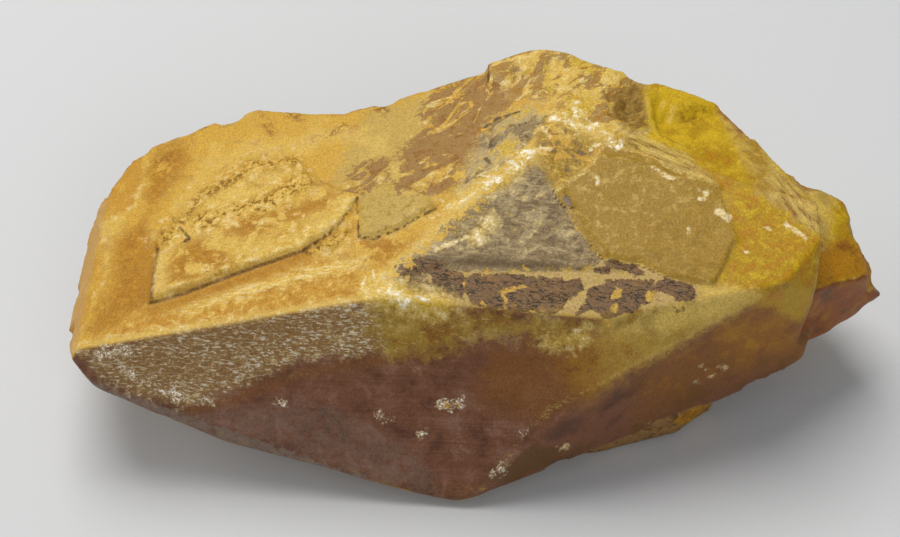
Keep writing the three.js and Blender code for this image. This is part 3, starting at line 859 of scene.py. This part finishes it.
def hash_noise(points, size, seed):
    """Smooth noise from -1 to 1. Each corner of a cubic lattice of the given size gets a random
    value, and a point's value blends its eight corners by 3f^2 - 2f^3 along each axis."""
    values = np.random.default_rng(seed).uniform(-1, 1, NOISE_VALUES)
    place = points / size + NOISE_SHIFT
    cell = np.floor(place).astype(np.int64)
    share = place - cell
    share = share * share * (3 - 2 * share)
    total = np.zeros(len(points))
    for corner in itertools.product((0, 1), repeat=3):
        at = cell + corner
        index = np.bitwise_xor.reduce(at * NOISE_PRIMES, axis=1) % NOISE_VALUES
        weight = np.prod(np.where(corner, share, 1 - share), axis=1)
        total += weight * values[index]
    return total


def ramp(value, low, high):
    """0 below low, 1 above high, and 3t^2 - 2t^3 between them."""
    t = np.clip((value - low) / (high - low), 0, 1)
    return t * t * (3 - 2 * t)


def stroke_distance(points, line):
    """Distance of each point to a line of straight pieces: the least over the pieces of the
    distance to the piece's nearest point."""
    line = np.asarray(line, float)
    start, step = line[:-1], np.diff(line, axis=0)
    away = points[:, None] - start
    share = np.clip((away * step).sum(-1) / (step * step).sum(-1), 0, 1)
    return np.linalg.norm(away - share[..., None] * step, axis=-1).min(1)


def area_distance(points, outline):
    """Distance of each point to a closed outline, positive inside. A point is inside where a line
    from it to the right crosses the outline an odd number of times."""
    outline = np.asarray(outline, float)
    after = np.roll(outline, -1, axis=0)
    near = stroke_distance(points, np.vstack([outline, outline[:1]]))
    x, y = points[:, :1], points[:, 1:]
    spans = (outline[:, 1] > y) != (after[:, 1] > y)
    rise = np.where(after[:, 1] == outline[:, 1], 1, after[:, 1] - outline[:, 1])
    crossing = outline[:, 0] + (y - outline[:, 1]) * (after[:, 0] - outline[:, 0]) / rise
    inside = (spans & (x < crossing)).sum(1) % 2 == 1
    return np.where(inside, near, -near)


def camera_frame():
    """Where the camera is and which way it looks: eye, forward, right, up and focal length in
    pixels. It looks along +Y and down by its tilt, and the aim pixel lies on the centre."""
    tilt = math.radians(CAMERA_TILT)
    forward = np.array([0, math.cos(tilt), -math.sin(tilt)])
    right = np.array([1.0, 0, 0])
    up = np.array([0, math.sin(tilt), math.cos(tilt)])
    focal = PICTURE[0] / 2 / math.tan(math.radians(LENS_ANGLE / 2))
    aim = (
        CENTRE
        - right * (AIM_PX[0] - PICTURE[0] / 2) * MM_PER_PX
        + up * (AIM_PX[1] - PICTURE[1] / 2) * MM_PER_PX
    )
    eye = aim - forward * focal * MM_PER_PX
    return eye, forward, right, up, focal


def to_picture(points):
    """Pixels of the picture at which points are seen."""
    eye, forward, right, up, focal = camera_frame()
    away = points - eye
    depth = away @ forward
    across = PICTURE[0] / 2 + focal * (away @ right) / depth
    down = PICTURE[1] / 2 - focal * (away @ up) / depth
    return np.stack([across, down], axis=1)


def facet_normals():
    """Each facet's outward normal: (sin tilt cos compass, sin tilt sin compass, cos tilt)."""
    compass, tilt = np.radians(np.array([FACETS[n][:2] for n in NAMES], float)).T
    return np.stack([np.sin(tilt) * np.cos(compass), np.sin(tilt) * np.sin(compass), np.cos(tilt)], axis=1)


NORMALS = facet_normals()
DISTANCES = np.array([FACETS[n][2] for n in NAMES], float)


def members(names):
    """The numbers of facets with these names."""
    return np.array([NAMES.index(n) for n in names])


def box_lattice(counts):
    """The skin of a box lattice: points from -1 to 1 and four-cornered faces that look outwards.
    Corners shared by two sides of the box are one point, so no seam is open."""
    nx, ny, nz = counts
    faces = []
    for axis in range(3):
        first, second = (axis + 1) % 3, (axis + 2) % 3
        for side in (0, counts[axis]):
            u, v = np.meshgrid(np.arange(counts[first] + 1), np.arange(counts[second] + 1), indexing="ij")
            grid = np.zeros(u.shape + (3,), np.int64)
            grid[..., axis], grid[..., first], grid[..., second] = side, u, v
            key = (grid[..., 0] * (ny + 1) + grid[..., 1]) * (nz + 1) + grid[..., 2]
            ring = [key[:-1, :-1], key[1:, :-1], key[1:, 1:], key[:-1, 1:]]
            if side == 0:
                ring.reverse()
            faces.append(np.stack(ring, axis=-1).reshape(-1, 4))
    keys, quads = np.unique(np.concatenate(faces), return_inverse=True)
    lattice = np.stack([keys // (nz + 1) // (ny + 1), keys // (nz + 1) % (ny + 1), keys % (nz + 1)], axis=1)
    return lattice / np.array(counts) * 2 - 1, quads.reshape(-1, 4)


def reach_of(origin, ray, heights, wear):
    """How far along its ray each point leaves the crystal, in shares of the ray, and which body it
    leaves. Facet i is met at (distance + height - n.(origin - centre)) / (n.ray). A body ends at the
    least of these, softened by -k log(sum(exp(-s / k))) for worn edges, and the crystal ends where
    its furthest body does."""
    length = np.linalg.norm(ray, axis=1)
    facing = ray @ NORMALS.T
    gap = DISTANCES + heights - (origin - CENTRE) @ NORMALS.T
    with np.errstate(divide="ignore", invalid="ignore"):
        meet = gap / facing
    reach = np.zeros(len(ray))
    owner = np.zeros(len(ray), int)
    for number, names in enumerate(BODIES.values()):
        own = members(names)
        out = np.where(facing[:, own] > SIDEWAYS, meet[:, own], np.inf) * length[:, None]
        into = np.where(facing[:, own] < -SIDEWAYS, meet[:, own], -np.inf).max(1) * length
        missed = ((np.abs(facing[:, own]) <= SIDEWAYS) & (gap[:, own] < 0)).any(1)
        least = out.min(1)
        soft = least - wear * np.log(np.exp(-(out - least[:, None]) / wear).sum(1))
        further = ~missed & (into < soft) & (soft / length > reach)
        reach[further] = (soft / length)[further]
        owner[further] = number
    return reach, owner


def swells(points, grain, seed):
    """A sum of noises, each (height, size)."""
    return sum(height * hash_noise(points, size, seed + i) for i, (height, size) in enumerate(grain))


def grain_heights(points):
    """How far each facet stands out at the points by its grain alone."""
    heights = np.repeat(swells(points, SMOOTH_GRAIN, SMOOTH_SEED)[:, None], len(NAMES), axis=1)
    for number, (group, grain) in enumerate(GRAIN.items()):
        seed = GRAIN_SEED + GRAIN_SEED_STEP * number
        heights[:, members(GROUPS[group])] = swells(points, grain, seed)[:, None]
    return heights


def near_shape(distance, points, shape, reach):
    """The distance to a shape, found only for points within its reach, and -reach elsewhere."""
    corners = np.asarray(shape, float)
    close = ((points > corners.min(0) - reach) & (points < corners.max(0) + reach)).all(1)
    found = np.full(len(points), -float(reach))
    found[close] = distance(points[close], shape)
    return found


def facet_heights(points, wander, lumps, heights):
    """Adds to the heights the plates and hollows of each facet, the crumbs on it and the laths of
    the crown. A plate's height rises as 3t^2 - 2t^3 across its riser."""
    heights = heights.copy()
    plan = points[:, :2] + wander
    elevation = points[:, ::2] + wander
    laths = [
        ("crown", "plan", LATH_RISE, LATH_HALF, np.array(LATH_OUTLINE) + np.array(LATH_STEP) * number)
        for number in range(LATH_COUNT)
    ]
    for facet, view, rise, half, outline in RELIEFS + laths:
        inside = near_shape(area_distance, plan if view == "plan" else elevation, outline, PLATE_REACH)
        heights[:, NAMES.index(facet)] += rise * ramp(inside, -half, half)
    for facet, path in CRUMBS:
        inside = near_shape(lambda at, line: -stroke_distance(at, line), plan, path, CRUMB_REACH)
        heights[:, NAMES.index(facet)] += ramp(inside, -CRUMB_FADE[0], -CRUMB_FADE[1]) * lumps
    return heights


def strike_chips(origin, ray, reach, radius, depth):
    """Cuts round bites out of the edges. A ray meets a ball where |origin + t ray - middle| is its
    radius, a quadratic in t, and a point inside the ball is brought back to the nearer meeting."""
    for edge in np.array(CHIPS, float):
        away = (edge - CENTRE) * CHIP_AIM
        middle = edge + away / np.linalg.norm(away) * (radius - depth)
        offset = origin - middle
        a = (ray * ray).sum(1)
        b = (offset * ray).sum(1)
        c = (offset * offset).sum(1) - radius * radius
        inner = b * b - a * c
        root = np.sqrt(np.maximum(inner, 0))
        near, far = (-b - root) / a, (-b + root) / a
        struck = (inner > 0) & (near < reach) & (reach < far) & (near > 0)
        reach = np.where(struck, near, reach)
    return reach


def crystal_surface(sizes):
    """The crystal's skin as a closed mesh: points in mm, faces and each point's body. Every point of
    a box lattice is reached from a flat core at centre + (1 - share) * point along share * point, as
    far as the crystal goes. Heights depend on where the point lies, so the reach is found in a few
    rounds, each moving half way."""
    lattice, quads = box_lattice((sizes.columns, sizes.rows, sizes.layers))
    box = lattice * HALF_BOX
    ray = box * RAY_SHARE
    origin = CENTRE + box - ray
    wear = sizes.wear / MM
    reach, owner = reach_of(origin, ray, np.zeros(len(NAMES)), wear)
    points = origin + ray * reach[:, None]
    grain = grain_heights(points)
    wander = [hash_noise(points, WANDER_SIZE, WANDER_SEED + side) for side in range(2)]
    wander = sizes.riser_wander / MM * np.stack(wander, axis=1)
    lumps = np.clip(CRUMB_MIDDLE + swells(points, CRUMB_SWELLS, CRUMB_SEED), *CRUMB_HEIGHTS) - CRUMB_SINK
    for turn in range(ROUNDS):
        points = origin + ray * reach[:, None]
        found, owner = reach_of(origin, ray, facet_heights(points, wander, lumps, grain), wear)
        reach = reach + (found - reach) * (1 if turn == 0 else ROUND_SHARE)
    reach = strike_chips(origin, ray, reach, sizes.chip_radius / MM, sizes.chip_depth / MM)
    return origin + ray * reach[:, None], quads, owner


def facet_slack(points, owner):
    """How far inside each facet of its own body a point lies, in mm; other facets are far away."""
    slack = DISTANCES - (points - CENTRE) @ NORMALS.T
    for number, names in enumerate(BODIES.values()):
        others = np.ones(len(NAMES), bool)
        others[members(names)] = False
        slack[np.ix_(owner == number, others)] = FAR_AWAY
    return slack


def group_distance(slack, group):
    """Distance in mm to the border of a group of facets, positive on it: the least slack outside
    the group less the least slack in it."""
    own = np.zeros(len(NAMES), bool)
    own[members(GROUPS[group])] = True
    return np.clip(slack[:, ~own].min(1) - slack[:, own].min(1), -ZONE_REACH, ZONE_REACH)


def zone_distance(seen, on_group, zone):
    """Distance in mm to a zone's border, positive inside, by the picture's scale."""
    margin = ZONE_REACH / MM_PER_PX
    shapes = [near_shape(area_distance, seen, outline, margin) for outline in zone.get("areas", [])]
    for half, line in zone.get("strokes", []):
        shapes.append(near_shape(lambda at, path: half - stroke_distance(at, path), seen, line, margin))
    drawn = np.max(shapes, axis=0) * MM_PER_PX
    return np.clip(np.minimum(drawn, on_group[zone["on"]]), -ZONE_REACH, ZONE_REACH)


def surface_roughness(distances):
    """Each point's roughness: that of the ground, with every coat's laid over it by its share."""
    roughness = GROUND[-1]
    for zone, _, _, border, _, rough, strength, _, _ in COATS:
        share = strength * ramp(distances[zone], -border / 2, border / 2)
        roughness = roughness + share * (rough - roughness)
    return roughness


def zone_trios():
    """The zones in the order of their coats, three to an attribute; the last one fills up its trio."""
    names = list(dict.fromkeys(coat[0] for coat in COATS))
    names += [names[-1]] * (-len(names) % 3)
    return [names[start : start + 3] for start in range(0, len(names), 3)]


def crystal_mesh(sizes):
    """The dressed crystal's mesh in metres, with the distances to its zones as attributes."""
    points, quads, owner = crystal_surface(sizes)
    slack = facet_slack(points, owner)
    seen = to_picture(points)
    low, high = (np.array(corner) / MM for corner in CAD_BOUNDS)
    inset = sizes.inset / MM
    placed = np.clip(points + TO_MIDDLE, low + inset, high - inset)
    placed[:, 2] = np.where(points[:, 2] < inset, 0, placed[:, 2])
    mesh = bpy.data.meshes.new("barite_skin")
    mesh.vertices.add(len(placed))
    mesh.vertices.foreach_set("co", (placed * MM).astype(np.float32).ravel())
    mesh.loops.add(quads.size)
    mesh.loops.foreach_set("vertex_index", quads.astype(np.int32).ravel())
    mesh.polygons.add(len(quads))
    mesh.polygons.foreach_set("loop_start", np.arange(0, quads.size, 4, dtype=np.int32))
    mesh.polygons.foreach_set("use_smooth", np.ones(len(quads), bool))
    mesh.update(calc_edges=True)
    mesh.validate()
    distances = {group: group_distance(slack, group) for group in GROUPS}
    distances |= {name: zone_distance(seen, distances, zone) for name, zone in ZONES.items()}
    for number, names in enumerate(zone_trios()):
        trio = np.stack([distances[name] for name in names], axis=1)
        attribute = mesh.attributes.new(f"zones_{number}", "FLOAT_VECTOR", "POINT")
        attribute.data.foreach_set("vector", trio.astype(np.float32).ravel())
    attribute = mesh.attributes.new("roughness", "FLOAT", "POINT")
    attribute.data.foreach_set("value", surface_roughness(distances).astype(np.float32))
    return mesh


def linear(code):
    """An #RRGGBB colour as linear values."""
    channels = (int(code[i : i + 2], 16) / 255 for i in (1, 3, 5))
    return tuple(c / 12.92 if c <= 0.04045 else ((c + 0.055) / 1.055) ** 2.4 for c in channels)


class Nodes:
    """Adds nodes to a material and joins them."""

    def __init__(self, tree):
        self.tree = tree

    def add(self, kind, inputs=None, **settings):
        """A new node. An input is either a value or the socket that feeds it."""
        node = self.tree.nodes.new(kind)
        for name, value in settings.items():
            setattr(node, name, value)
        for key, value in (inputs or {}).items():
            if isinstance(value, bpy.types.NodeSocket):
                self.tree.links.new(value, node.inputs[key])
            else:
                node.inputs[key].default_value = value
        return node

    def math(self, operation, first, second, third=0.0):
        """The result of an operation on two or three values."""
        return self.add("ShaderNodeMath", {0: first, 1: second, 2: third}, operation=operation).outputs[0]

    def step(self, value, low, high):
        """Rises smoothly from 0 at low to 1 at high."""
        inputs = {"Value": value, "From Min": low, "From Max": high}
        return self.add("ShaderNodeMapRange", inputs, interpolation_type="SMOOTHSTEP").outputs["Result"]

    def mix_colour(self, share, first, second):
        """The first colour where the share is 0, and the second where it is 1."""
        return self.add("ShaderNodeMix", {0: share, 6: first, 7: second}, data_type="RGBA").outputs[2]


def pattern_sockets(nodes):
    """The named patterns, each a value from 0 to 1 read at Object coordinates."""
    place = nodes.add("ShaderNodeTexCoord").outputs["Object"]
    sockets = {}
    for name, (size, turn, detail, roughness, distortion) in PATTERNS.items():
        scale = tuple(MM * side for side in size)
        turned = {"Vector": place, "Rotation": (0, 0, math.radians(turn)), "Scale": scale}
        mapping = nodes.add("ShaderNodeMapping", turned, vector_type="TEXTURE").outputs[0]
        grain = {"Scale": 1.0, "Detail": detail, "Roughness": roughness, "Distortion": distortion}
        sockets[name] = nodes.add("ShaderNodeTexNoise", {"Vector": mapping, **grain}).outputs["Fac"]
    for name, pattern in CRACKS.items():
        off_middle = nodes.math("ABSOLUTE", nodes.math("SUBTRACT", sockets[pattern], 0.5), 0.0)
        sockets[name] = nodes.math("SUBTRACT", 1.0, off_middle)
    return sockets


def coat_colour(nodes, shares, names, colours):
    """Three colours laid along a pattern: the first gives way to the second, and that to the third,
    by two shares of the pattern."""
    low, *others = ((*getattr(colours, name), 1) for name in names.split())
    for share, colour in zip(shares, others):
        if low != colour:
            low = nodes.mix_colour(share, low, colour)
    return low


def barite_material(finish, colours):
    """Barite: coats of colour over each other, each kept to its zone by a ragged border, over fine
    relief from the same patterns."""
    material = bpy.data.materials.new("barite_mineral")
    material.use_nodes = True
    tree = material.node_tree
    tree.nodes.clear()
    nodes = Nodes(tree)
    patterns = pattern_sockets(nodes)
    uneven = nodes.math("SUBTRACT", patterns["mottle"], 0.5)
    used = dict.fromkeys([GROUND[0], *(coat[1] for coat in COATS)])
    shares = {name: [nodes.step(patterns[name], *ends) for ends in zip(STOPS, STOPS[1:])] for name in used}
    pattern, names, _ = GROUND
    colour = coat_colour(nodes, shares[pattern], names, colours)
    roughness = nodes.add("ShaderNodeAttribute", attribute_name="roughness").outputs["Fac"]
    thickness = 0.0
    distances, trios = {}, enumerate(zone_trios())
    for zone, pattern, names, border, ragged, _, strength, thick, only in COATS:
        if zone not in distances:
            trio = next(trios)
            packed = nodes.add("ShaderNodeAttribute", attribute_name=f"zones_{trio[0]}").outputs["Color"]
            distances |= zip(trio[1], nodes.add("ShaderNodeSeparateColor", {0: packed}).outputs)
        wandering = nodes.math("MULTIPLY_ADD", uneven, ragged / MOTTLE_SWING, distances[zone])
        share = nodes.step(wandering, -border / 2, border / 2)
        if only:
            share = nodes.math("MULTIPLY", share, nodes.step(patterns[only[0]], only[1], only[2]))
        share = nodes.math("MULTIPLY", share, strength)
        colour = nodes.mix_colour(share, colour, coat_colour(nodes, shares[pattern], names, colours))
        if thick:
            thickness = nodes.math("MULTIPLY_ADD", share, thick, thickness)
    smooth, coarse, gritty = FINE_RELIEF
    low, high = SMOOTH_TO_ROUGH
    ends = {"From Min": low, "From Max": high, "To Min": smooth, "To Max": coarse}
    depth = nodes.add("ShaderNodeMapRange", {"Value": roughness, **ends}).outputs["Result"]
    height = nodes.math("MULTIPLY_ADD", patterns["mottle"], depth, thickness)
    height = nodes.math("MULTIPLY_ADD", patterns["grit"], gritty, height)
    bump = nodes.add("ShaderNodeBump", {"Strength": finish.bump, "Distance": MM, "Height": height}).outputs[0]
    sparkle = nodes.step(patterns["grit"], *GRAIN_RANGE)
    sparkle = nodes.math("MULTIPLY_ADD", sparkle, GRAIN_CONTRAST, 1 - GRAIN_CONTRAST / 2)
    colour = nodes.add("ShaderNodeHueSaturation", {"Value": sparkle, "Color": colour}).outputs["Color"]
    looks = {"Base Color": colour, "Roughness": roughness, "Normal": bump}
    looks |= {"IOR": finish.ior, "Specular IOR Level": finish.gloss}
    shader = nodes.add("ShaderNodeBsdfPrincipled", looks)
    nodes.add("ShaderNodeOutputMaterial", {"Surface": shader.outputs[0]})
    return material


def floor_material(colour):
    """Plain, dull paper for the floor."""
    material = bpy.data.materials.new("pale_floor")
    material.use_nodes = True
    shader = material.node_tree.nodes["Principled BSDF"]
    shader.inputs["Base Color"].default_value = (*colour, 1)
    shader.inputs["Roughness"].default_value = FLOOR_ROUGHNESS
    return material


def area_light(name, place, size, power, tint):
    """A square soft light that faces the crystal's middle. It is turned about X by the angle between
    straight down and the crystal, and about Z by the crystal's compass angle."""
    data = bpy.data.lights.new(name, "AREA")
    data.size, data.energy, data.color = size, power, tint
    light = bpy.data.objects.new(name, data)
    light.location = place
    x, y, z = np.array(LIT_POINT) - place
    light.rotation_euler = (math.atan2(math.hypot(x, y), -z), 0, math.atan2(y, x) - math.pi / 2)
    bpy.context.scene.collection.objects.link(light)


class CrystalSizes(PropertyGroup):
    """How finely the dressed crystal is cut up, and its sizes."""

    columns: IntProperty(name="Columns", description="Faces along the crystal", default=248, min=20)
    rows: IntProperty(name="Rows", description="Faces from front to back", default=106, min=10)
    layers: IntProperty(name="Layers", description="Faces from the floor up", default=60, min=10)
    wear: FloatProperty(
        name="Wear", description="Softness of the worn edges", default=0.3 * MM, min=0.01 * MM, unit="LENGTH"
    )
    riser_wander: FloatProperty(
        name="Riser wander", description="Wander of the plates' edges", default=0.35 * MM, unit="LENGTH"
    )
    chip_radius: FloatProperty(
        name="Chip radius", description="Radius of a chip", default=3.6 * MM, unit="LENGTH"
    )
    chip_depth: FloatProperty(
        name="Chip depth", description="Depth of a chip", default=0.6 * MM, unit="LENGTH"
    )
    inset: FloatProperty(
        name="Inset", description="Room left in the solid's box", default=0.04 * MM, unit="LENGTH"
    )


class CrystalFinish(PropertyGroup):
    """How the mineral's surface takes light."""

    bump: FloatProperty(name="Bump", description="Strength of the fine relief", default=0.8, subtype="FACTOR")
    ior: FloatProperty(name="Index of refraction", description="How barite bends light", default=1.64)
    gloss: FloatProperty(name="Gloss", description="Strength of reflections", default=0.15, subtype="FACTOR")


def palette_properties():
    """One colour property for each name of the palette."""
    return {
        name: FloatVectorProperty(
            name=name.capitalize(),
            description=f"The mineral's {name} colour",
            subtype="COLOR",
            default=linear(code),
            min=0,
            max=1,
        )
        for name, code in PALETTE.items()
    }


class CrystalColours(PropertyGroup):
    """Colours of the mineral."""

    __annotations__ = palette_properties()


class StageSizes(PropertyGroup):
    """The floor, lights and camera."""

    floor_side: FloatProperty(name="Floor side", description="Side of the floor", default=3.0, unit="LENGTH")
    floor_colour: FloatVectorProperty(
        name="Floor colour", description="Colour of the floor", subtype="COLOR", default=(0.64, 0.645, 0.65)
    )
    overhead: FloatProperty(name="Light overhead", description="Power", default=5.0, subtype="POWER")
    left: FloatProperty(name="Light from the left", description="Power", default=1.2, subtype="POWER")
    front: FloatProperty(name="Light from the front", description="Power", default=2.0, subtype="POWER")
    ambient: FloatProperty(name="Ambient", description="Strength of the light from all around", default=0.25)


class BARITE_OT_crystal(Operator):
    """Build the dressed crystal over the solid part"""

    bl_idname = "barite.crystal"
    bl_label = "Build crystal"

    def execute(self, context):
        scene = context.scene
        crystal = bpy.data.objects.new("barite_surface", crystal_mesh(scene.barite_sizes))
        scene.collection.objects.link(crystal)
        crystal.data.materials.append(barite_material(scene.barite_finish, scene.barite_colours))
        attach(crystal, "root")
        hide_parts("barite_crystal")
        return {"FINISHED"}


class BARITE_OT_stage(Operator):
    """Set the floor, the lights and the camera"""

    bl_idname = "barite.stage"
    bl_label = "Set stage"

    def execute(self, context):
        scene = context.scene
        sizes = scene.barite_stage
        half = sizes.floor_side / 2
        mesh = bpy.data.meshes.new("floor")
        corners = [(-half, -half, 0), (half, -half, 0), (half, half, 0), (-half, half, 0)]
        mesh.from_pydata(corners, [], [(0, 1, 2, 3)])
        floor = bpy.data.objects.new("floor", mesh)
        scene.collection.objects.link(floor)
        mesh.materials.append(floor_material(sizes.floor_colour))
        for name, (place, side, tint) in LIGHTS.items():
            area_light(name, place, side, getattr(sizes, name), tint)
        world = bpy.data.worlds.new("studio")
        world.use_nodes = True
        background = world.node_tree.nodes["Background"]
        background.inputs["Color"].default_value = (*AMBIENT_TINT, 1)
        background.inputs["Strength"].default_value = sizes.ambient
        scene.world = world
        scene.view_settings.view_transform = "Standard"
        eye = camera_frame()[0]
        data = bpy.data.cameras.new("camera")
        data.sensor_width = SENSOR
        data.lens = SENSOR / 2 / math.tan(math.radians(LENS_ANGLE / 2))
        camera = bpy.data.objects.new("camera", data)
        camera.location = (eye + TO_MIDDLE) * MM
        camera.rotation_euler = (math.radians(90 - CAMERA_TILT), 0, 0)
        scene.collection.objects.link(camera)
        scene.camera = camera
        return {"FINISHED"}


class BARITE_PT_panel(Panel):
    """Sizes, finish, colours and stage, with the two operators"""

    bl_idname = "BARITE_PT_panel"
    bl_label = "Barite"
    bl_space_type = "VIEW_3D"
    bl_region_type = "UI"
    bl_category = "Barite"

    def draw(self, context):
        scene = context.scene
        for title, group in (
            ("Sizes", scene.barite_sizes),
            ("Finish", scene.barite_finish),
            ("Colours", scene.barite_colours),
            ("Stage", scene.barite_stage),
        ):
            box = self.layout.box()
            box.label(text=title)
            for name in group.__class__.__annotations__:
                box.prop(group, name)
        self.layout.operator(BARITE_OT_crystal.bl_idname)
        self.layout.operator(BARITE_OT_stage.bl_idname)


GROUP_CLASSES = {
    "barite_sizes": CrystalSizes,
    "barite_finish": CrystalFinish,
    "barite_colours": CrystalColours,
    "barite_stage": StageSizes,
}
OTHER_CLASSES = (BARITE_OT_crystal, BARITE_OT_stage, BARITE_PT_panel)


def register():
    """Registers the classes and hangs the settings on the scene."""
    for name, group in GROUP_CLASSES.items():
        bpy.utils.register_class(group)
        setattr(bpy.types.Scene, name, PointerProperty(type=group))
    for other in OTHER_CLASSES:
        bpy.utils.register_class(other)


def unregister():
    """Takes back what register did."""
    for other in reversed(OTHER_CLASSES):
        bpy.utils.unregister_class(other)
    for name, group in GROUP_CLASSES.items():
        delattr(bpy.types.Scene, name)
        bpy.utils.unregister_class(group)


def main():
    """Builds the crystal and the stage."""
    register()
    bpy.ops.barite.crystal()
    bpy.ops.barite.stage()


if __name__ == "__main__":
    main()
